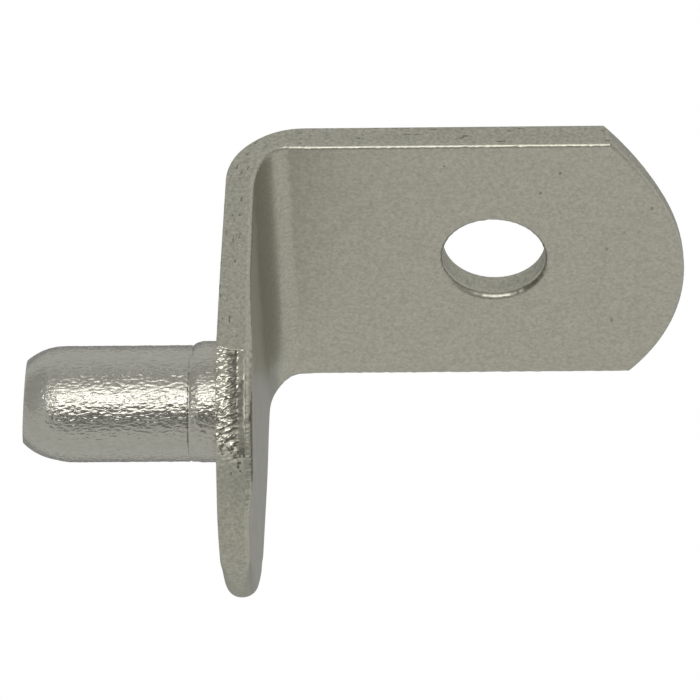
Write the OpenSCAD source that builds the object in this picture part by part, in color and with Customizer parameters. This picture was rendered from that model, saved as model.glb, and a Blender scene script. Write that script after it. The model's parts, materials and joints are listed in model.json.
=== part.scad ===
// Shelf support pin: a folded steel bracket with a round pin riveted through its wall leg.
//
// +Z is up, as in use. The origin is on the pin's axis at the foot of its shank, which is the
// plane of the cabinet side. The pin points to -X, the shelf leg reaches to +X, and the strip's
// width runs along Y. A shelf rests on the shelf leg's upper face. All sizes are in millimetres.

/* [Strip] */
// Width of the steel strip
strip_w = 17.5; // [14:0.1:22]
// Thickness of the steel strip
strip_t = 1.6; // [1.2:0.05:2.2]
// Radius that shearing rolls onto the edges of the inner face
edge_roll = 0.25; // [0.1:0.05:0.5]
// How far the torn part of a sheared end falls back towards the outer face
shear_taper = 0.3; // [0.05:0.05:0.5]

/* [Fold] */
// Radius inside the fold
fold_inner_r = 1.8; // [1:0.1:4]
// How much thinner the strip is at the middle of the fold, which widens the radius outside
fold_thinning = 0.3; // [0.05:0.05:0.4]
// How far the ends of the fold's inner corner swell out of the strip's sides
fold_crown = 0.2; // [0.1:0.05:0.4]

/* [Shelf leg] */
// Reach of the shelf leg, from the wall leg's outer face to the tip of its round end
shelf_reach = 25; // [21:0.05:36]
// Depth of the shelf leg's round end, from the middle of an unshifted strip's corners to the tip
shelf_end_rise = 3.55; // [2.5:0.05:5]
// Sideways shift of the shelf leg's round end
shelf_end_shift = 0.7; // [0:0.1:1]
// Diameter of the screw hole
screw_hole_d = 5.7; // [3:0.1:7]
// Distance of the screw hole's axis from the wall leg's outer face
screw_hole_reach = 14.4; // [12:0.05:16]
// Sideways shift of the screw hole's axis, towards -Y
screw_hole_shift = 0.15; // [0:0.05:0.5]

/* [Wall leg] */
// Drop of the wall leg, from the shelf leg's upper face to the bottom of its round end
wall_drop = 23.5; // [21:0.1:34]
// Depth of the wall leg's round end, from the strip's corners to the bottom
wall_end_rise = 6.1; // [3:0.1:7.5]

/* [Pin] */
// Diameter of the pin's shank
pin_d = 6.35; // [5:0.05:8]
// Length of the shank's straight part
shank_len = 6.9; // [4:0.1:14]
// Length of the ball nose, up to its flat tip
nose_len = 2.2; // [1.2:0.1:2.6]
// Step from the shank's surface out to the collar's
collar_step = 0.2; // [0.1:0.02:0.8]
// Length of the collar, with its bevel
collar_len = 2; // [1:0.1:4]
// Length of the bevel between shank and collar
collar_bevel = 0.4; // [0.1:0.05:0.8]
// Distance of the pin's axis below the shelf leg's upper face
pin_drop = 12.6; // [11:0.1:16]

/* [Rivet] */
// Diameter of the tenon that passes through the wall leg
tenon_d = 4.2; // [3:0.1:5]
// How far the riveted end spreads beyond the tenon, all round
flare_w = 0.6; // [0.2:0.05:1]
// Depth of the riveted end's seat in the wall leg's inner face
flare_depth = 0.7; // [0.3:0.05:1]

/* [Hidden] */
$fn = 96;

NICKEL = "#b5b3a6";
HALF_W = strip_w / 2;
// Where the legs leave the fold, from the strip's outer corner
FOLD_END = strip_t + fold_inner_r;
FOLD_OUTER_R = FOLD_END + fold_thinning / (sqrt(2) - 1);
PIN_R = pin_d / 2;
COLLAR_R = PIN_R + collar_step;
TENON_R = tenon_d / 2;
FLARE_R = TENON_R + flare_w;
SCREW_R = screw_hole_d / 2;
// How far a cutting shape runs past what it cuts
OVER = 1;
// The outer corner of the strip, as if it were folded sharp. Both legs are measured from it.
CORNER = [collar_len, 0, pin_drop];
// Where the swellings of the fold are centred, from that corner along both legs
CROWN_AT = FOLD_END - fold_inner_r * cos(45);
// Half the width of a swelling, as a share of the fold's radius that keeps it within the fold
CROWN_HALF = 0.65 * fold_inner_r;

// Radius of an arc, from half its chord and its rise
function arc_radius(half_chord, rise) = (half_chord * half_chord + rise * rise) / (2 * rise);

// What rolling takes off a square corner, where the rounding is centred on the origin
module roll_corner() {
    difference() {
        square(edge_roll + OVER);
        circle(edge_roll);
    }
}

// Cross-section of the strip, with its outer face on y = 0 and its rolled inner face at strip_t
module strip_section() {
    difference() {
        translate([-HALF_W, 0]) square([strip_w, strip_t]);
        for (side = [0, 1]) mirror([side, 0])
            translate([HALF_W - edge_roll, strip_t - edge_roll]) roll_corner();
    }
}

// Half the section of a sheared end, from the centre of its round outline to its edge
module sheared_half(end_r) {
    difference() {
        polygon([[0, -strip_t], [end_r, -strip_t], [end_r, edge_roll - strip_t],
                 [end_r - shear_taper, 0], [0, 0]]);
        translate([end_r - edge_roll, edge_roll - strip_t]) mirror([0, 1]) roll_corner();
    }
}

// A leg lying along +X, with its outer face on z = 0 and its inner face below it
module leg(reach, end_rise, end_shift) {
    end_r = arc_radius(HALF_W, end_rise);
    intersection() {
        translate([FOLD_END, 0, 0]) rotate([90, 0, 90]) mirror([0, 1])
            linear_extrude(reach) strip_section();
        union() {
            translate([0, -strip_w, -strip_t]) cube([reach - end_r, 2 * strip_w, strip_t]);
            translate([reach - end_r, end_shift])
                rotate_extrude(angle = 180, start = -90, $fn = 180) sheared_half(end_r);
        }
    }
}

// The quarter turn between the legs, swept from the cross-section that it is given
module fold() {
    translate([FOLD_END, 0, -FOLD_END]) rotate([90, 0, 0])
        rotate_extrude(angle = 90, start = 90) translate([FOLD_END, 0]) rotate(90) children();
}

// What the wider radius outside the fold takes off the strip
module fold_outside() {
    rotate([90, 0, 0]) linear_extrude(strip_w + 2 * OVER, center = true) difference() {
        translate([-OVER, -FOLD_OUTER_R]) square(FOLD_OUTER_R + OVER);
        translate([FOLD_OUTER_R, -FOLD_OUTER_R]) circle(FOLD_OUTER_R);
    }
}

// The swelling that folding raises at each end of the inner corner
module fold_crowns() {
    crown_r = arc_radius(CROWN_HALF, fold_crown);
    intersection() {
        for (side = [-1, 1])
            translate([CROWN_AT, side * (HALF_W + fold_crown - crown_r), -CROWN_AT]) sphere(crown_r);
        fold() translate([-strip_w, 0]) square([2 * strip_w, strip_t]);
    }
}

// The screw hole down through the shelf leg, with its rim rolled on the inner face
module screw_hole() {
    translate([screw_hole_reach, -screw_hole_shift, -strip_t]) {
        translate([0, 0, -OVER]) cylinder(r = SCREW_R, h = strip_t + 2 * OVER);
        rotate_extrude() translate([SCREW_R + edge_roll, edge_roll]) rotate(180) roll_corner();
    }
}

// Half the section of the tenon and its spread end, along the wall leg's thickness
module tenon_half() {
    square([TENON_R, strip_t]);
    polygon([[0, strip_t - flare_depth], [TENON_R, strip_t - flare_depth],
             [FLARE_R, strip_t], [0, strip_t]]);
}

// Turns half a section into a solid about the X axis, with the section's y along +X
module turn_about_x() {
    rotate([0, 90, 0]) rotate_extrude() children();
}

module bracket() {
    color(NICKEL) difference() {
        translate(CORNER) difference() {
            union() {
                leg(shelf_reach, shelf_end_rise, shelf_end_shift);
                mirror([1, 0, 1]) leg(wall_drop, wall_end_rise, 0);
                fold() strip_section();
                fold_crowns();
            }
            fold_outside();
            screw_hole();
        }
        translate([collar_len, 0, 0]) turn_about_x() tenon_half();
    }
}

module pin() {
    color(NICKEL) {
        translate([collar_len, 0, 0]) turn_about_x() tenon_half();
        turn_about_x() polygon([[0, 0], [PIN_R, 0], [COLLAR_R, collar_bevel],
                                [COLLAR_R, collar_len], [0, collar_len]]);
        mirror([1, 0, 0]) turn_about_x() {
            square([PIN_R, shank_len]);
            translate([0, shank_len]) intersection() {
                circle(PIN_R);
                square([PIN_R, nose_len]);
            }
        }
    }
}

bracket();
pin();
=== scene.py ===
# Shelf support pin: plated surfaces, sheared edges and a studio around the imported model.
#
# Every length is in metres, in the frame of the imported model: +Z is up, the pin points to -X and
# the shelf leg reaches to +X. The strip is made flat and then folded. On the flat strip, path runs
# along it from the middle of the fold towards the shelf leg's tip, across runs over its width,
# and depth goes from its outer face to its inner face.

import json
import math

import bpy
import numpy as np
from bpy.props import FloatProperty, FloatVectorProperty, PointerProperty
from mathutils import Euler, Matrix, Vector, noise
from mathutils.geometry import delaunay_2d_cdt
from mathutils.kdtree import KDTree


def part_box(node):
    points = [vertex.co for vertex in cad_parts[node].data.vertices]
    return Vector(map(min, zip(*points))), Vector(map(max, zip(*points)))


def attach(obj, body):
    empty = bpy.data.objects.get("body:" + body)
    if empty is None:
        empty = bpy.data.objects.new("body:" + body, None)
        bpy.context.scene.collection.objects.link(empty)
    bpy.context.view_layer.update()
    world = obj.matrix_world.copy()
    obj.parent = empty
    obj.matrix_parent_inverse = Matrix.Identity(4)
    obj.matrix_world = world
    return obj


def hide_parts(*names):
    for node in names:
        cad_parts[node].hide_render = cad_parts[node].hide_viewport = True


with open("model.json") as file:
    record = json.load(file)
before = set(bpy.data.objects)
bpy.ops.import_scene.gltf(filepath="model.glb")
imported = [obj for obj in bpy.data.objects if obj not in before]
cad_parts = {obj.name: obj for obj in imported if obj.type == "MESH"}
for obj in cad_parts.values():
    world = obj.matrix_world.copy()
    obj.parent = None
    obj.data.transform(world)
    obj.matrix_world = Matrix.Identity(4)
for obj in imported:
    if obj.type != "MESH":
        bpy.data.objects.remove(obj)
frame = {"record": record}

bl_info = {
    "name": "Shelf support pin",
    "version": (1, 0, 0),
    "blender": (4, 5, 0),
    "location": "3D view > Sidebar > Shelf Pin",
    "description": "Builds a riveted shelf support pin with its sheared edges, plating and studio",
    "category": "Add Mesh",
}

MM = 0.001
TURN = 2 * math.pi

# How many points lie along each part of the strip's outline, and around its holes. Where the wall
# leg's end is torn, from a share of the way round it, the points lie closer together.
NEAR_SIDE_COUNT = 430
FAR_SIDE_COUNT = 150
CORNER_COUNT = 5
SHELF_ARC_COUNT = 110
TORN_ARC_COUNT = 330
WORN_ARC_COUNT = 150
TORN_ARC_FROM = 0.6
HOLE_COUNT = 150
TENON_COUNT = 90
# How many rows of points lie across each band of a sheared edge
TORN_ROWS = 26
BURNISH_ROWS = 4
ROLL_ROWS = 8

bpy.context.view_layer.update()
BRACKET_LOW, BRACKET_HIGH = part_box("bracket")
PIN_LOW, PIN_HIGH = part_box("pin")
MOUNTS = {mount["name"]: mount for mount in frame["record"]["mounts"]}

# The strip's outer corner, as if it were folded sharp, and its thickness
CORNER_X = BRACKET_LOW.x
CORNER_Z = BRACKET_HIGH.z
STRIP_T = PIN_HIGH.x - BRACKET_LOW.x
SHANK_R = MOUNTS["pin"]["dims"]["r_mm"] * MM
SHANK_LEN = MOUNTS["pin"]["dims"]["length_mm"] * MM
HOLE_R = MOUNTS["screw_hole"]["dims"]["r_mm"] * MM
HOLE_X, HOLE_Y, _ = MOUNTS["screw_hole"]["pos_m"]

# The finishes of the strip's faces, in the order of its materials
# The third finish is one dark colour: painted shade in the crease and on the torn band, and the long
# sides' scuffs
PLAIN, TORN, SHADE_AND_SCUFF, SHEARED = range(4)

# Stretches of the wall leg's round end, in degrees from its lowest point towards -Y: where each one
# starts, how slowly it sets in, where it stops and how slowly it fades
FRESH_STRETCH = (8, 22, 112, 40)
# The inner stretch and the crease's stretch are where shade is painted
INNER_SHADE_STRETCH = (24, 12, 66, 16)
CREASE_SHADE_STRETCH = (20, 10, 58, 12)

# Small pits in the shelf leg's inner face: X, Y, radius and depth, in millimetres
PITS = (
    (19.1, -5.2, 0.13, 0.08), (20.2, -6.7, 0.12, 0.07), (25.25, -3.95, 0.13, 0.09),
    (23.7, -2.15, 0.12, 0.06), (24.5, -2.2, 0.11, 0.05), (22.7, -0.9, 0.15, 0.09),
    (22.9, 4.6, 0.15, 0.09), (13.8, -7.3, 0.12, 0.05))
# The rings of points in and around a pit, as shares of its radius, and how many points each one has
PIT_RINGS = (0.35, 0.7, 1.0, 1.3)
PIT_RING_COUNT = 10
# How far the lattice of points stays away from a pit's middle, as a share of its radius
PIT_CLEARANCE = 1.6


def length(name, description, size_mm):
    """A property that holds a length, with its default given in millimetres."""
    return FloatProperty(
        name=name, description=description, default=size_mm * MM, min=0, unit="LENGTH", precision=5)


def angle(name, description, degrees):
    """A property that holds an angle, with its default given in degrees."""
    return FloatProperty(
        name=name, description=description, default=math.radians(degrees), subtype="ANGLE")


def share(name, description, value):
    """A property that holds a value from 0 to 1."""
    return FloatProperty(
        name=name, description=description, default=value, min=0, max=1, subtype="FACTOR")


def colour(name, description, value):
    """A property that holds a colour, as linear red, green and blue."""
    return FloatVectorProperty(
        name=name, description=description, default=value, min=0, max=1, subtype="COLOR")


class StripShape(bpy.types.PropertyGroup):
    """Form of the folded strip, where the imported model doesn't state it"""

    crown: length("Crown", "How far the ends of the fold's inner corner swell sideways", 0.175)
    crown_spread: length("Crown spread", "How far a swelling spreads over the strip's side", 1.3)
    crown_width: length("Crown width", "How far a swelling reaches in from the strip's side", 2.4)
    draw_in: length("Draw-in", "How far the ends of the fold's outer corner pull in", 0.06)
    fold_outer_r: length("Fold outside radius", "Radius outside the fold", 4.1)
    fold_reach_x: length(
        "Fold reach on shelf leg", "How far the inner corner's curve reaches along the shelf leg", 1.7)
    fold_reach_z: length(
        "Fold reach on wall leg", "How far the inner corner's curve reaches along the wall leg", 3.2)
    tip_r: length("Tip radius", "Radius of the shelf leg's end around its tip", 11.7)
    tip_shift: length("Tip shift", "Sideways shift of the shelf leg's tip", 0.8)
    flat_r: length("Flat radius", "Radius of the flatter part of the shelf leg's end", 20.6)
    flat_from: angle("Flat from", "Direction in which the flatter part meets the tip's arc", 23.4)
    wall_end_rise: length(
        "Wall end rise", "Depth of the wall leg's round end, from its -Y corner", 6.1)
    wall_end_shift: length("Wall end shift", "Sideways shift of the wall leg's round end", 0.13)
    wall_swell: length("Wall swell", "How much thicker the wall leg is below its rivet", 0.07)
    corner_r: length("Corner radius", "Rounding where a round end meets the strip's side", 0.1)


class EdgeShape(bpy.types.PropertyGroup):
    """Form of the sheared edges, from the outer face to the inner face"""

    roll: length("Roll", "Radius that shearing rolls onto the inner face's edge", 0.25)
    hole_roll: length(
        "Rolled rim of the hole", "Radius that shearing rolls onto the screw hole's rim", 0.4)
    waver: length("Waver", "Unevenness of the rolled edge", 0.045)
    waver_length: length("Waver length", "Length of one wave of the rolled edge", 0.3)
    burnish: length("Burnish", "Height of the smooth band beside the roll", 0.38)
    burnish_fall: length(
        "Burnish fall", "How far the smooth band falls back towards the torn band", 0.14)
    lip: length("Lip", "Worn burr at the outer face's edge", 0.035)
    taper: length(
        "Taper", "How far the shelf leg's torn band falls back towards the outer face", 0.3)
    wall_taper: length(
        "Wall taper", "How far the wall leg's torn band falls back towards the outer face", 0.12)
    tear: length("Tear", "Height of the torn band's ridges", 0.06)
    tear_length: length("Tear length", "Length of one torn ridge", 0.5)
    tear_width: length("Tear width", "Width of one torn ridge", 0.2)
    tear_slant: angle("Tear slant", "Slant of the torn ridges from the strip's thickness", 36)
    side_tear: share("Side tear", "Height of the ridges on the strip's long sides", 0.2)
    shelf_tear: share("Shelf end tear", "Height of the ridges on the shelf leg's end", 0.15)
    worn_tear: share(
        "Worn tear", "Height of the ridges on the far part of the wall leg's end", 0.03)
    worn_outer: length(
        "Worn outer edge", "Radius that wear rounds onto the far part's outer edge", 0.74)
    worn_inner: length(
        "Worn inner edge", "Radius that wear rounds onto the far part's inner edge", 0.8)
    press: length(
        "Press", "How far shearing pressed the wall leg's fresh end towards the inner face", 0.04)
    ridge: length("Ridge", "How far the inner face's edge stands up along the fresh end", 0.42)
    ridge_reach: length("Ridge reach", "How far that ridge reaches into the inner face", 2.2)
    fresh_burnish: length("Fresh burnish", "Height of the smooth band along the fresh end", 0.42)


class PinShape(bpy.types.PropertyGroup):
    """Form of the pin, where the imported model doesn't state it"""

    collar_r: length("Collar radius", "Radius of the collar", 3.31)
    bevel: length("Collar bevel", "Length of the bevel between shank and collar", 0.55)
    collar_shift: length(
        "Collar shift", "How far the collar's middle lies off the pin's axis", 0.09)
    collar_skew: length(
        "Collar skew", "How far the collar's foot strays along the pin, on its lean side", 0.08)
    groove: length("Groove", "Depth of the line turned into the foot of the shank", 0.03)
    cut_slant: angle(
        "Cut slant", "Slant of the cut at the pin's end, from +Y and -Z to -Y and +Z", 3.4)
    cut_tilt: angle(
        "Cut tilt", "Slant of the cut at the pin's end, from +Y and +Z to -Y and -Z", 2.9)
    cut_edge: length("Cut edge", "Softening of the edge round the cut", 0.05)
    nose_lean: length("Nose lean", "How much leaner the ball end is on one side", 0.1)
    tenon_r: length("Tenon radius", "Radius of the tenon inside the wall leg", 2.1)
    flare_r: length("Flare radius", "Radius of the riveted end", 2.7)
    flare_depth: length("Flare depth", "Depth of the riveted end's seat", 0.7)
    peel: length("Peel height", "Height of the orange-peel grain", 0.025)
    peel_length: length("Peel length", "Length of a grain along the pin", 0.24)
    peel_width: length("Peel width", "Width of a grain around the pin", 0.11)


class Finish(bpy.types.PropertyGroup):
    """Colours and roughness of the nickel plate"""

    strip_colour: colour("Strip colour", "Nickel on the strip's faces", (0.328, 0.322, 0.268))
    tear_colour: colour(
        "Torn band colour", "Nickel on the torn band of the wall leg's end", (0.34, 0.335, 0.28))
    edge_colour: colour("Edge colour", "Nickel on the other sheared edges", (0.312, 0.307, 0.256))
    # Painted shade in the crease and on the torn band, and the long sides' scuffs, share this dark
    # colour
    shade_and_scuff_colour: colour(
        "Crease colour", "Painted shade in the crease beside the torn band", (0.15, 0.146, 0.12))
    pin_colour: colour("Pin colour", "Nickel on the pin", (0.325, 0.32, 0.28))
    strip_roughness: share("Strip roughness", "Roughness of the strip's faces", 0.34)
    tear_roughness: share("Torn band roughness", "Roughness of the torn band", 0.18)
    edge_roughness: share("Edge roughness", "Roughness of the other sheared edges", 0.5)
    pin_roughness: share("Pin roughness", "Roughness of the pin", 0.165)


class Studio(bpy.types.PropertyGroup):
    """Camera, lamps and floor"""

    camera_place: FloatVectorProperty(
        name="Camera place", description="Where the camera stands", subtype="TRANSLATION",
        default=(0.026185, -0.250794, -0.250995), unit="LENGTH", precision=5)
    camera_turn: FloatVectorProperty(
        name="Camera turn", description="The camera's rotation", subtype="EULER",
        default=(math.radians(135.4388), math.radians(-1.7028), math.radians(2.287)))
    lens: FloatProperty(name="Lens", description="Focal length in millimetres", default=334.5, min=1)
    lamp_distance: length("Lamp distance", "Distance of the lamps and cards from the part", 450)
    floor_drop: length("Floor drop", "Height of the part above the floor", 500)
    floor_size: length("Floor size", "Length of the floor's sides", 8000)


# ---------------------------------------------------------------- shape of the flat strip


def smooth(value):
    """A soft step from 0 to 1, for values that rise from 0 to 1."""
    value = np.clip(value, 0, 1)
    return value * value * (3 - 2 * value)


def window(value, start, rise, stop, fall):
    """A soft window of height 1, which rises after its start and has fallen to 0 at its stop."""
    return smooth((value - start) / rise) * smooth((stop - value) / fall)


def arc_radius(half_chord, rise):
    """Radius of an arc, from half its chord and its rise."""
    return (half_chord ** 2 + rise ** 2) / (2 * rise)


def heading(centre, place):
    """Angle of a place as seen from a centre."""
    return math.atan2(place[1] - centre[1], place[0] - centre[0])


def toward_near_side(along, across):
    """Angles of directions on the flat strip, in degrees from the wall leg's bottom towards -Y."""
    return np.degrees(np.arctan2(-across, -along))


def straight(start, stop, across, count):
    """Points along one side of the strip, without the last, and their outward directions."""
    path = np.linspace(start, stop, count, endpoint=False)
    points = np.stack([path, np.full(count, across)], 1)
    return points, np.tile([0.0, math.copysign(1, across)], (count, 1))


def arc(centre, radius, start, stop, count):
    """Points along an arc, without the last, and their directions away from its centre."""
    turned = np.linspace(start, stop, count, endpoint=False)
    away = np.stack([np.cos(turned), np.sin(turned)], 1)
    return np.array(centre[:2]) + radius * away, away


def quarter(turned, zone, inset, reach_x, reach_z):
    """Places on one face of the fold, as offsets from the sharp corner, for shares of its turn."""
    lead_z = zone - inset - reach_z
    lead_x = zone - inset - reach_x
    bend = (reach_x + reach_z) * TURN / 8
    run = turned * (lead_z + bend + lead_x)
    swung = np.clip((run - lead_z) / bend, 0, 1) * TURN / 4
    x = inset + reach_x * (1 - np.cos(swung)) + np.maximum(run - lead_z - bend, 0)
    z = np.minimum(run, lead_z) - zone + reach_z * np.sin(swung)
    return x, z


class FlatStrip:
    """The strip before it is folded, with its outline, its holes and the turn that folds it."""

    def __init__(self, shape, edge, pin):
        self.shape = shape
        self.edge = edge
        self.half_width = BRACKET_HIGH.y - shape.crown
        self.zone = STRIP_T + max(shape.fold_reach_x, shape.fold_reach_z)
        self.half_fold = self.zone - shape.fold_outer_r + shape.fold_outer_r * TURN / 8
        tip = self.path_at_x(BRACKET_HIGH.x - shape.tip_r)
        apart = shape.flat_r - shape.tip_r
        self.tip_arc = (tip, shape.tip_shift, shape.tip_r)
        flat_path = tip - apart * math.cos(shape.flat_from)
        flat_across = shape.tip_shift + apart * math.sin(shape.flat_from)
        self.flat_arc = (flat_path, flat_across, shape.flat_r)
        wall_r = arc_radius(self.half_width + shape.wall_end_shift, shape.wall_end_rise)
        self.wall_arc = (self.path_at_z(BRACKET_LOW.z + wall_r), shape.wall_end_shift, wall_r)
        self.hole = (self.path_at_x(HOLE_X), HOLE_Y, HOLE_R)
        self.tenon = (self.path_at_z(0), 0.0, pin.tenon_r)

    def path_at_x(self, x):
        """Path of a place on the shelf leg."""
        return x - CORNER_X - self.zone + self.half_fold

    def path_at_z(self, z):
        """Path of a place on the wall leg."""
        return z - CORNER_Z + self.zone - self.half_fold

    def corner(self, end_arc, direction, side, inset, cut, small):
        """Centre of the rounding where a round end, cut back, meets the strip's side."""
        centre, shift, radius = end_arc
        across = side * (self.half_width - inset - small)
        run = math.sqrt((radius - cut - small) ** 2 - (across - shift) ** 2)
        return centre + direction * run, across

    def outline(self, inset=0.0, taper=0.0):
        """Points and outward directions of the outline, counter-clockwise on the flat strip."""
        # The rounding of its corners shrinks with the inset, but not to nothing
        small = max(self.shape.corner_r - inset, 0.01 * MM)
        cut = inset + taper * self.edge.taper
        wall_cut = inset + taper * self.edge.wall_taper
        side = self.half_width - inset
        square = TURN / 4
        low_shelf = self.corner(self.flat_arc, 1, -1, inset, cut, small)
        high_shelf = self.corner(self.tip_arc, 1, 1, inset, cut, small)
        high_wall = self.corner(self.wall_arc, -1, 1, inset, wall_cut, small)
        low_wall = self.corner(self.wall_arc, -1, -1, inset, wall_cut, small)
        shelf_from = heading(self.flat_arc, low_shelf)
        shelf_meet = -self.shape.flat_from
        shelf_to = heading(self.tip_arc, high_shelf)
        wall_from = heading(self.wall_arc, high_wall) % TURN
        wall_to = heading(self.wall_arc, low_wall) % TURN
        torn_from = wall_from + (wall_to - wall_from) * TORN_ARC_FROM
        pieces = [
            straight(low_wall[0], low_shelf[0], -side, NEAR_SIDE_COUNT),
            arc(low_shelf, small, -square, shelf_from, CORNER_COUNT),
            arc(self.flat_arc, self.flat_arc[2] - cut, shelf_from, shelf_meet, SHELF_ARC_COUNT),
            arc(self.tip_arc, self.tip_arc[2] - cut, shelf_meet, shelf_to, SHELF_ARC_COUNT),
            arc(high_shelf, small, shelf_to, square, CORNER_COUNT),
            straight(high_shelf[0], high_wall[0], side, FAR_SIDE_COUNT),
            arc(high_wall, small, square, wall_from, CORNER_COUNT),
            arc(self.wall_arc, self.wall_arc[2] - wall_cut, wall_from, torn_from, WORN_ARC_COUNT),
            arc(self.wall_arc, self.wall_arc[2] - wall_cut, torn_from, wall_to, TORN_ARC_COUNT),
            arc(low_wall, small, wall_to, TURN - square, CORNER_COUNT),
        ]
        return np.concatenate([p for p, _ in pieces]), np.concatenate([n for _, n in pieces])

    def rim(self, hole, count, inset=0.0):
        """Points of a hole's edge, clockwise, and the directions that lead out of the steel there."""
        points, away = arc(hole, hole[2] + inset, TURN, 0, count)
        return points, -away

    def pressed(self, path, across, depth):
        """Depths of points, with the fresh end of the wall leg pressed in and its inner edge raised."""
        shape, edge = self.shape, self.edge
        centre, shift, radius = self.wall_arc
        reach = np.hypot(path - centre, across - shift)
        fresh = window(toward_near_side(path - centre, across - shift), *FRESH_STRETCH)
        near = smooth(1 + (reach - radius) / edge.ridge_reach)
        # The rolled edge is drawn out into a ridge there, and its lower part makes a narrow step at
        # the ridge's foot. Their heights, and where the step ends, are shares of the roll's radius.
        step_end, step_height, ridge_height = 0.58, 0.15, 1.7
        burnish = STRIP_T - edge.roll - edge.burnish
        known = (0, burnish, STRIP_T - edge.roll, STRIP_T - step_end * edge.roll, STRIP_T)
        top = STRIP_T + edge.ridge
        foot = top - ridge_height * edge.roll
        step_top = foot + step_height * edge.roll
        raised = (edge.press, foot - edge.fresh_burnish, foot, step_top, top)
        weight = fresh * near
        swell_length = 6 * MM
        swell = shape.wall_swell * smooth((-path - self.half_fold) / swell_length) * depth / STRIP_T
        return depth * (1 - weight) + np.interp(depth, known, raised) * weight + swell * (1 - weight)

    def folded(self, path, across, depth):
        """Places in the frame of points of the flat strip."""
        shape = self.shape
        depth = self.pressed(path, across, depth)
        turned = np.clip((path + self.half_fold) / (2 * self.half_fold), 0, 1)
        outer_x, outer_z = quarter(turned, self.zone, 0, shape.fold_outer_r, shape.fold_outer_r)
        inner_x, inner_z = quarter(turned, self.zone, STRIP_T, shape.fold_reach_x, shape.fold_reach_z)
        share_in = depth / STRIP_T
        x = CORNER_X + outer_x + (inner_x - outer_x) * share_in + np.maximum(path - self.half_fold, 0)
        z = CORNER_Z + outer_z + (inner_z - outer_z) * share_in - np.maximum(-path - self.half_fold, 0)
        return np.stack([x, across + self.swelling(x, across, z), z], 1)

    def swelling(self, x, across, z):
        """Sideways move of the metal at the fold's ends: out at its inner corner, in at its outer."""
        shape = self.shape
        # How far the middle of a quarter circle lies from its sharp corner, along each leg
        bulge = 1 - math.sqrt(0.5)
        inner = (STRIP_T + shape.fold_reach_x * bulge, STRIP_T + shape.fold_reach_z * bulge)
        outer = (shape.fold_outer_r * bulge, shape.fold_outer_r * bulge)
        push = shape.crown * hump(x, z, inner, shape.crown_spread)
        pull = shape.draw_in * hump(x, z, outer, shape.crown_spread)
        near_side = np.clip((np.abs(across) - self.half_width) / shape.crown_width + 1, 0, 1)
        return np.sign(across) * near_side ** 2 * (push - pull)


def hump(x, z, offset, spread):
    """A bell of height 1 in the fold's section, at offsets from the outer corner along both legs."""
    gap = (x - CORNER_X - offset[0]) ** 2 + (z - CORNER_Z + offset[1]) ** 2
    return np.exp(-gap / spread ** 2)


# ---------------------------------------------------------------- sheared edges


def sheared_rows(edge, roll):
    """Rows of a sheared edge, from the outer face to the inner, which has the radius rolled onto it.

    Each row is its depth, its inset from the outline and its shares of the taper, the torn relief,
    the waver of the rolled edge and the smooth band's fall.
    """
    lip = edge.lip
    torn_end = STRIP_T - roll - edge.burnish
    # The worn lip, over which the torn relief sets in
    rows = [
        (0, 4 * lip, 1, 0, 0, 0),
        (0, lip, 1, 0, 0, 0),
        (lip / 3, lip / 3, 1, 0.3, 0, 0),
        (lip, 0, 1, 0.6, 0, 0)]
    # The torn band, along which the taper eases off
    for k in range(1, TORN_ROWS):
        down = k / TORN_ROWS
        rows.append((lip + (torn_end - lip) * down, 0, (1 - down) ** 1.5, 1, 0, down ** 3))
    rows.append((torn_end, 0, 0, 0.6, 0, 1))
    # The smooth band, which falls back towards the torn one
    for k in range(1, BURNISH_ROWS):
        up = k / BURNISH_ROWS
        rows.append((torn_end + edge.burnish * up, 0, 0, 0.1, 0, 1 - up))
    # The rolled edge, and one row beyond it on the inner face
    for k in range(ROLL_ROWS + 1):
        turned = TURN / 4 * k / ROLL_ROWS
        depth = STRIP_T - roll * (1 - math.sin(turned))
        rows.append((depth, roll * (1 - math.cos(turned)), 0, 0, math.sin(2 * turned), 0))
    rows.append((STRIP_T, roll + 2 * lip, 0, 0, 0, 0))
    return np.array(rows).T


def fractal(places, octaves=3):
    """Smooth noise of about -1 to 1 at each place."""
    fading, finer = 0.8, 2.1
    return np.array([noise.fractal(Vector(p), fading, finer, octaves) for p in places])


def fractal_line(values, lane=0):
    """The same noise at values along a line, which is one of several lanes."""
    return fractal(np.stack([values, values * 0, values * 0 + lane], 1))


def fractal_grid(along, down):
    """The same noise, less fine, over a grid of places along an edge and down its depth."""
    places = np.stack(np.meshgrid(along, down, [0.0], indexing="ij"), -1)
    return fractal(places.reshape(-1, 3), 2).reshape(len(along), len(down))


def torn(edge, along, depth):
    """Height of the torn ridges, with flattened tops, at places along an edge and down its depth."""
    with_grain = depth * math.cos(edge.tear_slant) + along * math.sin(edge.tear_slant)
    across_grain = along * math.cos(edge.tear_slant) - depth * math.sin(edge.tear_slant)
    places = np.stack([with_grain / edge.tear_length, across_grain / edge.tear_width, along * 0], -1)
    flattening = 1.5
    return edge.tear * np.tanh(flattening * fractal(places.reshape(-1, 3), 2)).reshape(along.shape)


def on_wall_end(ring, away):
    """Which points of the outline lie on the wall leg's round end."""
    return (ring[:, 0] < 0) & (away[:, 0] != 0)


def tear_strength(edge, ring, away):
    """How strong the torn ridges are around the outline: full where the wall leg's end is fresh."""
    fresh_from, fresh_rise = 0.46, 0.32
    fresh = smooth((-away[:, 1] - fresh_from) / fresh_rise)
    wall = edge.worn_tear + (1 - edge.worn_tear) * fresh
    ends = np.where(ring[:, 0] > 0, edge.shelf_tear, wall)
    return np.where(away[:, 0] == 0, edge.side_tear, ends)


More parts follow.
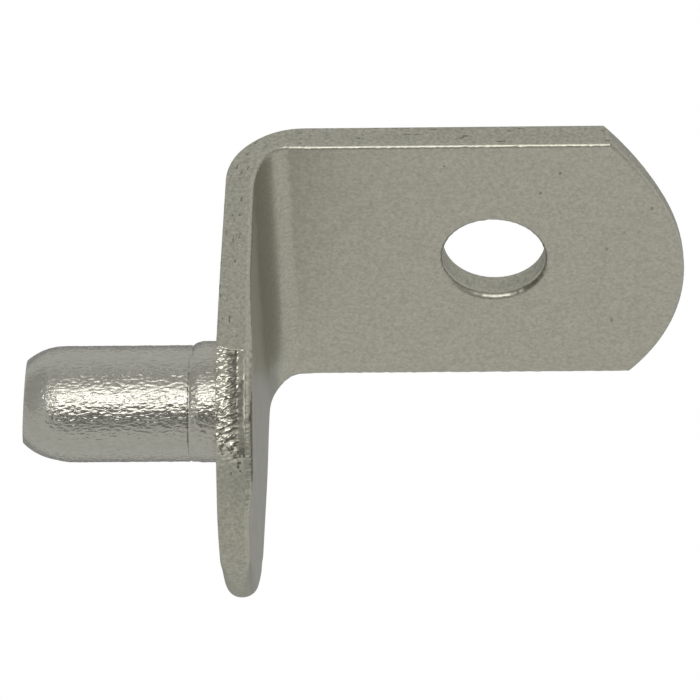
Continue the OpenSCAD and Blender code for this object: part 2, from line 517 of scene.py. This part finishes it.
def edge_finishes(edge, ring, away, depth):
    """The finish of each face of the sheared edges, with borders broken up by noise.

    The wall leg's end is torn, with flecks of painted shade towards its inner face and its lowest
    point. The strip's long sides have dark scuffs, which are fewer towards the inner face.
    """
    patch_size, patch_strength = 0.2 * MM, 0.5
    patches = patch_strength * fractal_grid(ring[:, 1] / patch_size, depth / patch_size)
    turned = toward_near_side(away[:, 0], away[:, 1])
    share_in = depth / STRIP_T
    inner_from, inner_rise = 0.3, 0.5
    toward_inner = smooth((share_in - inner_from) / inner_rise)
    # Painted shade: dark flecks towards the inner face and the lowest point of the wall leg's end
    inner_shade = window(turned, *INNER_SHADE_STRETCH)[:, None] * toward_inner[None, :]
    low_stop, low_fall, low_strength = 53, 10, 0.5
    low_shade = low_strength * smooth((low_stop - turned) / low_fall)[:, None]
    shade_limit, fresh_limit, inner_gain = 0.55, 0.45, 0.3
    shade_flecks = np.maximum(inner_shade, low_shade) + patches > shade_limit
    strength = np.where(on_wall_end(ring, away), tear_strength(edge, ring, away), 0)
    fresh = strength[:, None] + patches > fresh_limit - inner_gain * inner_shade
    scuff_length, scuff_width = 0.65 * MM, 0.17 * MM
    scuffs = fractal_grid(ring[:, 0] / scuff_length, depth / scuff_width)
    scuff_limit, limit_gain, fewer_from = 0.58, 0.5, 0.4
    scuff_limits = scuff_limit + limit_gain * smooth(share_in - fewer_from)
    scuffed = (away[:, 0] == 0)[:, None] & (scuffs > scuff_limits[None, :])
    return np.where(fresh, np.where(shade_flecks, SHADE_AND_SCUFF, TORN), np.where(scuffed, SHADE_AND_SCUFF, SHEARED))


def below_roll(rows, roll):
    """Which rows of a sheared edge, after the first, end below the radius rolled onto it."""
    return rows[0][1:] <= STRIP_T - roll


def crease_shade_width(ring, away):
    """Uneven width of the crease's painted shade at the wall leg's fresh end, as a share of the roll.
    """
    turned = toward_near_side(away[:, 0], away[:, 1])
    mean_width, unevenness, degrees_per_wave = 0.15, 0.1, 4
    width = mean_width + unevenness * fractal_line(turned / degrees_per_wave)
    return width * window(turned, *CREASE_SHADE_STRETCH) * on_wall_end(ring, away)


def band_finishes(edge, ring, away, rows, relief):
    """The finish of each face of the outline's band: the sheared edge, and the roll beyond it.

    The roll is plain but for painted shade in the crease, and the torn band has painted
    shade in its recesses.
    """
    depth, inset, _, torn_share, _, _ = rows[:, 1:]
    on_edge = below_roll(rows, edge.roll)
    on_roll = ~on_edge & (inset <= edge.roll)
    finishes = np.where(on_edge[None, :], edge_finishes(edge, ring, away, depth), PLAIN)
    # Painted shade: a dark band in the crease along the fresh end, and in the torn band's deep recesses
    crease_shade_end = edge.roll * crease_shade_width(ring, away)
    crease_shaded = on_roll[None, :] & (STRIP_T - depth[None, :] < crease_shade_end[:, None])
    recess_depth = 0.55 * edge.tear
    fully_torn = torn_share > 0.5
    shaded_recesses = (relief[:, 1:] < -recess_depth) & fully_torn & (finishes == TORN)
    return np.where(crease_shaded | shaded_recesses, SHADE_AND_SCUFF, finishes)


def worn_back(gap, radius):
    """How far a rounding of a radius steps back at a gap from the face that it runs into."""
    near = np.clip(1 - gap / radius, 0, 1)
    return radius * (1 - np.sqrt(1 - near ** 2))


def worn_corner(strip, edge, places, taper):
    """Places of the outline's band, with the far corner of the wall leg's end worn round.

    The end's taper fades out towards that corner, before the wear sets in.
    """
    centre, shift, radius = strip.wall_arc
    path, across, depth = places.T
    diagonal = (across - shift + centre - path) / (math.sqrt(2) * radius)
    worn_from, worn_rise = 0.76, 0.15
    full_from, full_rise = 0.5, 0.4
    worn = smooth((diagonal - worn_from) / worn_rise)
    full = smooth((diagonal - full_from) / full_rise)
    back = worn_back(depth, edge.worn_outer) + worn_back(STRIP_T - depth, edge.worn_inner)
    step = (worn * back - full * taper) / math.sqrt(2)
    return np.stack([path + step, across - step, depth], 1)


def band(loop, depth, inset, taper, relief, start):
    """The band of points around one loop: flat-strip places, quads and the grid of indices."""
    rows = [loop(gap, fall)[0] for gap, fall in zip(inset, taper)]
    away = loop()[1]
    flat = np.stack(rows, 1) + away[:, None, :] * relief[:, :, None]
    columns, count = relief.shape
    places = np.concatenate([flat.reshape(-1, 2), np.tile(depth, columns)[:, None]], 1)
    index = start + np.arange(columns * count).reshape(columns, count)
    after = np.roll(index, -1, 0)
    quads = np.stack([index[:, :-1], index[:, 1:], after[:, 1:], after[:, :-1]], 2).reshape(-1, 4)
    return places, quads, index


def sheared_relief(edge, loop, strength, unevenness, rows):
    """Heights of the torn ridges and of the wavering roll over a sheared edge."""
    depth, _, _, torn_share, waver_share, fall_share = rows
    ring = loop()[0]
    steps = np.linalg.norm(np.roll(ring, -1, 0) - ring, axis=1)
    along = np.concatenate([[0], np.cumsum(steps)[:-1]])
    along_all, depth_all = np.meshgrid(along, depth, indexing="ij")
    ridges = torn(edge, along_all, depth_all) * torn_share[None, :] * strength[:, None]
    waves = edge.waver * unevenness * fractal_line(along / edge.waver_length, lane=7)
    fall = edge.burnish_fall * np.clip(strength, 0, 1)
    return ridges + waves[:, None] * waver_share[None, :] - fall[:, None] * fall_share[None, :]


# ---------------------------------------------------------------- faces of the strip


def pit_rings(strip):
    """Points around each pit of the shelf leg's inner face."""
    points = []
    for x, y, radius, _ in PITS:
        centre = np.array([strip.path_at_x(x * MM), y * MM])
        points.append([centre])
        for reach in PIT_RINGS:
            # Each ring starts at its own angle, so that its points don't line up with the next one's
            turned = np.arange(PIT_RING_COUNT) / PIT_RING_COUNT * TURN + reach
            points.append(centre + reach * radius * MM * np.stack([np.cos(turned), np.sin(turned)], 1))
    return np.concatenate(points)


def pit_depth(strip, points):
    """How deep the pits are at points of the inner face."""
    deep = np.zeros(len(points))
    for x, y, radius, depth in PITS:
        gap = np.hypot(points[:, 0] - strip.path_at_x(x * MM), points[:, 1] - y * MM) / (radius * MM)
        deep += depth * MM * (1 - np.clip(gap, 0, 1) ** 2) ** 2
    return deep


def clear_of(points, ring, away, gap):
    """Which points lie inside a ring of points, at least a gap away from it."""
    tree = KDTree(len(ring))
    for k, place in enumerate(ring):
        tree.insert((*place, 0), k)
    tree.balance()
    nearest = np.array([tree.find((*p, 0))[1] for p in points])
    return np.einsum("ij,ij->i", points - ring[nearest], away[nearest]) < -gap


def lattice(strip, spacing):
    """A triangular lattice of points over the strip."""
    low = strip.wall_arc[0] - strip.wall_arc[2]
    high = strip.tip_arc[0] + strip.tip_arc[2]
    rows = np.arange(-strip.half_width, strip.half_width, spacing * math.sqrt(3) / 2)
    points = []
    for k, across in enumerate(rows):
        path = np.arange(low + spacing / 2 * (k % 2), high, spacing)
        points.append(np.stack([path, np.full(len(path), across)], 1))
    return np.concatenate(points)


def face_points(strip, rings, loops, spacing, pitted):
    """Points inside one face of the strip: a lattice clear of its rings, and the points of its pits."""
    inside = lattice(strip, spacing)
    if pitted:
        for x, y, radius, _ in PITS:
            gap = np.hypot(inside[:, 0] - strip.path_at_x(x * MM), inside[:, 1] - y * MM)
            inside = inside[gap > PIT_CLEARANCE * radius * MM]
        inside = np.concatenate([inside, pit_rings(strip)])
    clearance = 0.6 * spacing
    for ring, loop in zip(rings, loops):
        inside = inside[clear_of(inside, ring, loop()[1], clearance)]
    return inside


def fill(rings, inside, holes):
    """Triangles over a face, but not over its holes, by the numbers of its rings' and inner points."""
    points = np.concatenate([*rings, inside]) / MM
    edges, first = [], 0
    for ring in rings:
        count = len(ring)
        edges += [(first + k, first + (k + 1) % count) for k in range(count)]
        first += count
    inside_rings, tolerance = 1, 1e-6
    _, _, faces, sources, _, _ = delaunay_2d_cdt(
        [Vector(p) for p in points], edges, [], inside_rings, tolerance)
    source = np.array([s[0] for s in sources])
    faces = source[np.array(faces)]
    middle = points[faces].mean(1) * MM
    hole_share = 0.999
    for path, across, radius in holes:
        outside = np.hypot(middle[:, 0] - path, middle[:, 1] - across) > hole_share * radius
        faces, middle = faces[outside], middle[outside]
    return faces


# ---------------------------------------------------------------- pieces


def new_piece(name, points, faces, materials, material_of_face):
    """A smooth-shaded mesh object from points and faces, with a material for each face."""
    mesh = bpy.data.meshes.new(name)
    mesh.from_pydata(points.tolist(), [], faces)
    for material in materials:
        mesh.materials.append(material)
    mesh.polygons.foreach_set("material_index", np.asarray(material_of_face, np.int32))
    mesh.shade_smooth()
    mesh.update()
    piece = bpy.data.objects.new(name, mesh)
    bpy.context.scene.collection.objects.link(piece)
    return piece


def build_strip(shape, edge, pin):
    """Points and faces of the folded strip, and the finish of each face."""
    strip = FlatStrip(shape, edge, pin)
    rows = sheared_rows(edge, edge.roll)
    hole_rows = sheared_rows(edge, edge.hole_roll)
    depth, inset, taper_share = rows[:3]
    hole_depth, hole_inset = hole_rows[:2]
    seat = pin.flare_r - pin.tenon_r
    seat_depth = np.array([0, STRIP_T - pin.flare_depth, STRIP_T, STRIP_T])
    seat_inset = np.array([0, 0, seat, seat + edge.lip])

    def hole_loop(gap=0.0, _=0.0):
        return strip.rim(strip.hole, HOLE_COUNT, gap)

    def tenon_loop(gap=0.0, _=0.0):
        return strip.rim(strip.tenon, TENON_COUNT, gap)

    ring, away = strip.outline()
    uneven = np.where((ring[:, 0] > 0) & (away[:, 0] != 0), edge.shelf_tear, 1)
    relief = sheared_relief(edge, strip.outline, tear_strength(edge, ring, away), uneven, rows)
    # The hole's ridges are as low as the shelf leg's end has them, but its rim wavers more
    hole_tear = np.full(HOLE_COUNT, edge.shelf_tear)
    hole_relief = sheared_relief(edge, hole_loop, hole_tear, 5 * hole_tear, hole_rows)
    seat_relief = np.zeros((TENON_COUNT, len(seat_depth)))
    loops = (strip.outline, hole_loop, tenon_loop)
    forms = (
        (depth, inset, taper_share, relief),
        (hole_depth, hole_inset, 0 * hole_inset, hole_relief),
        (seat_depth, seat_inset, 0 * seat_inset, seat_relief))
    bands, start = [], 0
    for loop, form in zip(loops, forms):
        bands.append(band(loop, *form, start))
        start += len(bands[-1][0])
    all_places = [places for places, _, _ in bands]
    taper = np.tile(taper_share * edge.wall_taper, len(ring))
    all_places[0] = worn_corner(strip, edge, all_places[0], taper)
    faces = np.concatenate([quads for _, quads, _ in bands]).tolist()
    hole_finishes = np.where(below_roll(hole_rows, edge.hole_roll), SHEARED, PLAIN)
    finishes = [
        band_finishes(edge, ring, away, rows, relief).ravel(),
        np.tile(hole_finishes, HOLE_COUNT),
        np.full(TENON_COUNT * (len(seat_depth) - 1), PLAIN)]
    edge_places = np.concatenate(all_places)
    # The outer face joins the bands' first row, and the inner face their last
    for row, face_depth, spacing in ((0, 0.0, 0.4 * MM), (-1, STRIP_T, 0.26 * MM)):
        inner = row == -1
        known = [index[:, row] for _, _, index in bands]
        rings = [edge_places[numbers, :2] for numbers in known]
        inside = face_points(strip, rings, loops, spacing, pitted=inner)
        holes = [
            (strip.hole[0], strip.hole[1], strip.hole[2] + hole_inset[row]),
            (strip.tenon[0], strip.tenon[1], strip.tenon[2] + seat_inset[row])]
        known = np.concatenate([*known, start + np.arange(len(inside))])
        found = known[fill(rings, inside, holes)]
        faces += (found[:, ::-1] if inner else found).tolist()
        finishes.append(np.full(len(found), PLAIN))
        deep = np.full(len(inside), face_depth)
        if inner:
            deep -= pit_depth(strip, inside)
        all_places.append(np.concatenate([inside, deep[:, None]], 1))
        start += len(inside)
    path, across, depth = np.concatenate(all_places).T
    return strip.folded(path, across, depth), faces, np.concatenate(finishes)


def soft_max(a, b, reach):
    """The larger of two values, with the corner between them softened over a reach."""
    mix = np.clip(0.5 + (a - b) / (2 * reach), 0, 1)
    return b + (a - b) * mix + reach * mix * (1 - mix)


def pin_profile(shape, wall_swell, step):
    """Distance along the axis, away from the strip, and radius, from the riveted end to the nose."""
    collar_r, groove = shape.collar_r, shape.groove
    end = -PIN_HIGH.x - wall_swell
    ease = 0.05 * MM
    tenon_r = shape.tenon_r - ease / 5
    corners = [
        # The riveted end, in its seat, and the tenon
        (end, 0), (end, 0.985 * shape.flare_r), (end + ease / 4, 0.995 * shape.flare_r),
        (shape.flare_depth - PIN_HIGH.x, tenon_r), (-CORNER_X, tenon_r),
        # The collar and its bevel
        (-CORNER_X, collar_r - ease), (-CORNER_X + 0.3 * ease, collar_r - 0.3 * ease),
        (-CORNER_X + ease, collar_r), (-shape.bevel - ease, collar_r),
        (-shape.bevel + ease, collar_r - 0.4 * ease), (-0.08 * MM, SHANK_R + 0.2 * ease),
        # The line turned into the foot of the shank, and the shank
        (-0.03 * MM, SHANK_R - groove), (0.01 * MM, SHANK_R - groove), (0.06 * MM, SHANK_R),
        (SHANK_LEN, SHANK_R)]
    profile = []
    for (x0, r0), (x1, r1) in zip(corners, corners[1:]):
        # Inside the wall leg, where nothing shows, the points lie further apart
        coarser = 3 if x1 <= -CORNER_X else 1
        count = max(round(math.hypot(x1 - x0, r1 - r0) / step / coarser), 1)
        profile += [(x0 + (x1 - x0) * k / count, r0 + (r1 - r0) * k / count) for k in range(count)]
    count = round(SHANK_R * TURN / 4 / step)
    for k in range(count + 1):
        turned = TURN / 4 * k / count
        profile.append((SHANK_LEN + SHANK_R * math.sin(turned), SHANK_R * math.cos(turned)))
    return np.array(profile)


def pin_peel(shape, grid_x, grid_r, ray):
    """Height of the orange-peel grain over the pin. It fades out at the nose's tip and at the foot."""
    places = np.stack([
        grid_x / shape.peel_length,
        ray[0] * grid_r / shape.peel_width,
        ray[1] * grid_r / shape.peel_width], 2).reshape(-1, 3)
    nose_fade, foot_fade = 2.5 * MM, 0.15 * MM
    fade = smooth((grid_x - PIN_LOW.x) / nose_fade) * smooth(np.abs(grid_x) / foot_fade)
    return shape.peel * fractal(places, 2).reshape(grid_r.shape) * fade


def build_pin(shape, wall_swell):
    """Points and faces of the pin, turned about the X axis and cut off aslant at its nose."""
    along_step, around_step = 0.09 * MM, 0.042 * MM
    along, radius = pin_profile(shape, wall_swell, along_step)[1:-1].T
    sides = round(TURN * SHANK_R / around_step)
    turned = TURN * np.arange(sides) / sides
    grid_x = -np.repeat(along[:, None], sides, 1)
    grid_r = np.repeat(radius[:, None], sides, 1)
    ray = np.stack([np.cos(turned), np.sin(turned)])
    # The pin's surface in the open, short of the last part of its nose
    in_open = (grid_x < CORNER_X) & (grid_r > 0.9 * SHANK_R)
    grid_r = grid_r + pin_peel(shape, grid_x, grid_r, ray) * in_open
    side_y, side_z = grid_r * ray[0], grid_r * ray[1]
    rise = (side_y - side_z) / math.sqrt(2)
    # Its collar was turned a little off its axis and askew, towards -Y and +Z
    near_foot = window(grid_x, start=-1.5 * MM, rise=1.4 * MM, stop=1.6 * MM, fall=1.4 * MM)
    grid_x = grid_x + shape.collar_skew * (1 - rise / SHANK_R) * near_foot * (grid_x < CORNER_X)
    collar_from, collar_rise = 0.05 * MM, 0.4 * MM
    on_collar = smooth((grid_x - collar_from) / collar_rise) * in_open
    off_axis = shape.collar_shift * on_collar / math.sqrt(2)
    side_y, side_z = side_y - off_axis, side_z + off_axis
    # The pin was cut off aslant, so that it is longest towards +Y
    near = (side_y + side_z) / -math.sqrt(2)
    cut_x = PIN_LOW.x - math.tan(shape.cut_slant) * rise + math.tan(shape.cut_tilt) * near
    grid_x = np.where(grid_x < -SHANK_LEN, soft_max(grid_x, cut_x, shape.cut_edge), grid_x)
    # Its ball end is a little leaner on the side towards +Y and -Z
    lean_from, lean_rise = 0.5 * MM - SHANK_LEN, 1.2 * MM
    lean = shape.nose_lean * smooth((lean_from - grid_x) / lean_rise) * (0.5 + 0.5 * rise / SHANK_R)
    side_y, side_z = side_y * (1 - lean / SHANK_R), side_z * (1 - lean / SHANK_R)
    points = np.stack([grid_x, side_y, side_z], 2).reshape(-1, 3)
    rings = len(along)
    index = np.arange(rings * sides).reshape(rings, sides)
    after = np.roll(index, -1, 1)
    quads = np.stack([index[:-1], after[:-1], after[1:], index[1:]], 2).reshape(-1, 4)
    ends = len(points)
    middle_x = [grid_x[0].mean(), grid_x[-1].mean()]
    points = np.concatenate([points, [[x, 0, 0] for x in middle_x]])
    faces = quads.tolist()
    faces += [[ends, b, a] for a, b in zip(index[0], after[0])]
    faces += [[ends + 1, a, b] for a, b in zip(index[-1], after[-1])]
    return points, faces


# ---------------------------------------------------------------- materials


def metal(name, base, roughness, grain_scale, grain_bump, mottle, stretch=1):
    """Plated metal: mottled colour, uneven roughness and a fine grain, perhaps stretched along X."""
    material = bpy.data.materials.new(name)
    material.use_nodes = True
    nodes, links = material.node_tree.nodes, material.node_tree.links
    shader = nodes["Principled BSDF"]
    shader.inputs["Metallic"].default_value = 1
    stretched = nodes.new("ShaderNodeVectorMath")
    stretched.operation = "MULTIPLY"
    stretched.inputs[1].default_value = (1 / stretch, 1, 1)
    links.new(nodes.new("ShaderNodeTexCoord").outputs["Object"], stretched.inputs[0])

    def noise_at(scale, detail):
        texture = nodes.new("ShaderNodeTexNoise")
        texture.inputs["Scale"].default_value = scale
        texture.inputs["Detail"].default_value = detail
        texture.inputs["Roughness"].default_value = 0.7
        links.new(stretched.outputs["Vector"], texture.inputs["Vector"])
        return texture.outputs["Fac"]

    def spread(value, low, high):
        # The noise lies mostly between 0.3 and 0.7
        mapped = nodes.new("ShaderNodeMapRange")
        mapped.inputs["To Min"].default_value = low
        mapped.inputs["To Max"].default_value = high
        mapped.inputs["From Min"].default_value = 0.3
        mapped.inputs["From Max"].default_value = 0.7
        links.new(value, mapped.inputs["Value"])
        return mapped.outputs["Result"]

    tint = nodes.new("ShaderNodeMix")
    tint.data_type = "RGBA"
    factor, darker, lighter = tint.inputs[0], tint.inputs[6], tint.inputs[7]
    darker.default_value = (*[c * (1 - mottle) for c in base], 1)
    lighter.default_value = (*[min(c * (1 + mottle), 1) for c in base], 1)
    mottle_scale, patch_scale, patch_spread = 5500, 700, 0.04
    links.new(spread(noise_at(mottle_scale, detail=4), 0, 1), factor)
    links.new(tint.outputs[2], shader.inputs["Base Color"])
    patches = noise_at(patch_scale, detail=5)
    uneven = spread(patches, roughness - patch_spread, roughness + patch_spread)
    links.new(uneven, shader.inputs["Roughness"])
    bump = nodes.new("ShaderNodeBump")
    bump.inputs["Strength"].default_value = 1
    bump.inputs["Distance"].default_value = grain_bump
    links.new(noise_at(grain_scale, detail=2), bump.inputs["Height"])
    links.new(bump.outputs["Normal"], shader.inputs["Normal"])
    return material


def smooth_plate(name, finish, mottle):
    """The satin nickel of the strip's faces."""
    return metal(
        name, finish.strip_colour, finish.strip_roughness, grain_scale=9000,
        grain_bump=0.0015 * MM, mottle=mottle)


def edge_plate(name, tint, roughness, mottle):
    """The coarser nickel of the sheared edges."""
    return metal(name, tint, roughness, grain_scale=7000, grain_bump=0.004 * MM, mottle=mottle)


# ---------------------------------------------------------------- studio


def lamp(name, place, width, height, radiance):
    """An area lamp at a place, aimed at the part, which the camera doesn't see."""
    data = bpy.data.lights.new(name, "AREA")
    data.shape = "RECTANGLE"
    data.size, data.size_y = width, height
    data.energy = radiance * width * height * math.pi
    light = bpy.data.objects.new(name, data)
    bpy.context.scene.collection.objects.link(light)
    light.location = place
    light.rotation_euler = (-Vector(place)).to_track_quat("-Z", "Y").to_euler()
    light.visible_camera = False


def plain_surface(name, tint):
    """A matt material for the studio."""
    material = bpy.data.materials.new(name)
    material.use_nodes = True
    shader = material.node_tree.nodes["Principled BSDF"]
    shader.inputs["Base Color"].default_value = (*tint, 1)
    shader.inputs["Roughness"].default_value = 1
    shader.inputs["Specular IOR Level"].default_value = 0
    return material


def plane(name, width, height, material):
    """A flat rectangle, as an object of the stage."""
    x, y = width / 2, height / 2
    mesh = bpy.data.meshes.new(name)
    mesh.from_pydata([(-x, -y, 0), (x, -y, 0), (x, y, 0), (-x, y, 0)], [], [(0, 1, 2, 3)])
    mesh.materials.append(material)
    thing = bpy.data.objects.new(name, mesh)
    bpy.context.scene.collection.objects.link(thing)
    return thing


def card(name, place, width, height, grey):
    """A grey card that only the metal sees."""
    thing = plane(name, width, height, plain_surface(name, (grey, grey, grey)))
    thing.location = place
    thing.rotation_euler = Vector(place).to_track_quat("-Z", "Y").to_euler()
    thing.visible_camera = False
    thing.visible_shadow = False
    thing.visible_diffuse = False


def white_world():
    """A white world, which shows behind the part and in the metal, and lights everything softly."""
    world = bpy.data.worlds.new("white_world")
    world.use_nodes = True
    bpy.context.scene.world = world
    background = world.node_tree.nodes["Background"]
    background.inputs["Color"].default_value = (1, 1, 1, 1)
    background.inputs["Strength"].default_value = 1


class SHELFPIN_OT_studio(bpy.types.Operator):
    """Make the camera, the lamps, the white surroundings and the floor"""

    bl_idname = "shelf_pin.make_studio"
    bl_label = "Make studio"

    def execute(self, context):
        studio = context.scene.shelf_pin_studio
        data = bpy.data.cameras.new("camera")
        data.lens = studio.lens
        data.sensor_width = 36
        data.clip_start, data.clip_end = 0.01, 10
        camera = bpy.data.objects.new("camera", data)
        camera.location = studio.camera_place
        camera.rotation_euler = studio.camera_turn
        context.scene.collection.objects.link(camera)
        context.scene.camera = camera
        context.scene.view_settings.view_transform = "Standard"
        white_world()
        turn = Euler(studio.camera_turn).to_matrix()
        right, up, back = turn.col

        def toward(above, beside=0):
            """A place at the lamps' distance, at angles in degrees above and beside the lens."""
            tilt, swing = math.radians(above), math.radians(beside)
            level = back * math.cos(swing) + right * math.sin(swing)
            return (level * math.cos(tilt) + up * math.sin(tilt)) * studio.lamp_distance

        lamp("key_lamp", toward(above=8.3, beside=-8), width=0.38, height=0.13, radiance=4.4)
        lamp("high_lamp", toward(above=26, beside=-8), width=0.38, height=0.05, radiance=2.3)
        card("low_card", toward(above=-26.5), width=0.5, height=0.28, grey=0.32)
        card("high_card", toward(above=58), width=0.42, height=0.22, grey=0.7)
        card("left_card", toward(above=22, beside=-68), width=0.5, height=0.6, grey=0.66)
        card("right_card", toward(above=0, beside=55), width=0.35, height=0.7, grey=0.5)
        card("back_card", toward(above=180), width=0.8, height=0.8, grey=0.42)
        pale = plain_surface("pale_floor", (0.95, 0.95, 0.94))
        floor = plane("floor", studio.floor_size, studio.floor_size, pale)
        floor.location.z = -studio.floor_drop
        return {"FINISHED"}


class SHELFPIN_OT_bracket(bpy.types.Operator):
    """Make the folded strip with its sheared edges"""

    bl_idname = "shelf_pin.make_bracket"
    bl_label = "Make bracket"

    def execute(self, context):
        scene = context.scene
        finish = scene.shelf_pin_finish
        points, faces, finishes = build_strip(
            scene.shelf_pin_strip, scene.shelf_pin_edge, scene.shelf_pin_pin)
        materials = [
            smooth_plate("strip_plate", finish, mottle=0.2),
            edge_plate("sheared_plate", finish.tear_colour, finish.tear_roughness, mottle=0.24),
            # Dark nickel, for painted shade in the crease and on the torn band and for the sides'
            # scuffs
            edge_plate("shade_and_scuff_plate", finish.shade_and_scuff_colour, finish.strip_roughness, mottle=0.3),
            edge_plate("edge_plate", finish.edge_colour, finish.edge_roughness, mottle=0.26)]
        piece = new_piece("folded_strip", points, faces, materials, finishes)
        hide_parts("bracket")
        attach(piece, "root")
        return {"FINISHED"}


class SHELFPIN_OT_pin(bpy.types.Operator):
    """Make the riveted pin"""

    bl_idname = "shelf_pin.make_pin"
    bl_label = "Make pin"

    def execute(self, context):
        scene = context.scene
        finish = scene.shelf_pin_finish
        points, faces = build_pin(scene.shelf_pin_pin, scene.shelf_pin_strip.wall_swell)
        materials = [
            metal(
                "pin_plate", finish.pin_colour, finish.pin_roughness, grain_scale=6200,
                grain_bump=0.038 * MM, mottle=0.1, stretch=1.7),
            smooth_plate("rivet_plate", finish, mottle=0.1)]
        # The riveted end, flush with the wall leg, has the second finish
        riveted_from = PIN_HIGH.x - 0.1 * MM
        riveted = [points[face[0], 0] > riveted_from for face in faces]
        piece = new_piece("riveted_pin", points, faces, materials, riveted)
        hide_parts("pin")
        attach(piece, "root")
        return {"FINISHED"}


class SHELFPIN_PT_sidebar(bpy.types.Panel):
    """Sizes, finish and studio of the shelf support pin"""

    bl_idname = "SHELFPIN_PT_sidebar"
    bl_label = "Shelf support pin"
    bl_space_type = "VIEW_3D"
    bl_region_type = "UI"
    bl_category = "Shelf Pin"

    def draw(self, context):
        for title, name in GROUPS:
            box = self.layout.box()
            box.label(text=title)
            group = getattr(context.scene, name)
            for field in group.__annotations__:
                box.prop(group, field)
        for operator in OPERATORS:
            self.layout.operator(operator.bl_idname)


GROUPS = (
    ("Strip", "shelf_pin_strip"), ("Edges", "shelf_pin_edge"), ("Pin", "shelf_pin_pin"),
    ("Finish", "shelf_pin_finish"), ("Studio", "shelf_pin_studio"))
GROUP_CLASSES = (StripShape, EdgeShape, PinShape, Finish, Studio)
OPERATORS = (SHELFPIN_OT_studio, SHELFPIN_OT_bracket, SHELFPIN_OT_pin)


def register():
    for cls in (*GROUP_CLASSES, *OPERATORS, SHELFPIN_PT_sidebar):
        bpy.utils.register_class(cls)
    for (_, name), cls in zip(GROUPS, GROUP_CLASSES):
        setattr(bpy.types.Scene, name, PointerProperty(type=cls))


def unregister():
    for _, name in GROUPS:
        delattr(bpy.types.Scene, name)
    for cls in (SHELFPIN_PT_sidebar, *reversed(OPERATORS), *reversed(GROUP_CLASSES)):
        bpy.utils.unregister_class(cls)


def main():
    register()
    bpy.ops.shelf_pin.make_studio()
    bpy.ops.shelf_pin.make_bracket()
    bpy.ops.shelf_pin.make_pin()


if __name__ == "__main__":
    main()
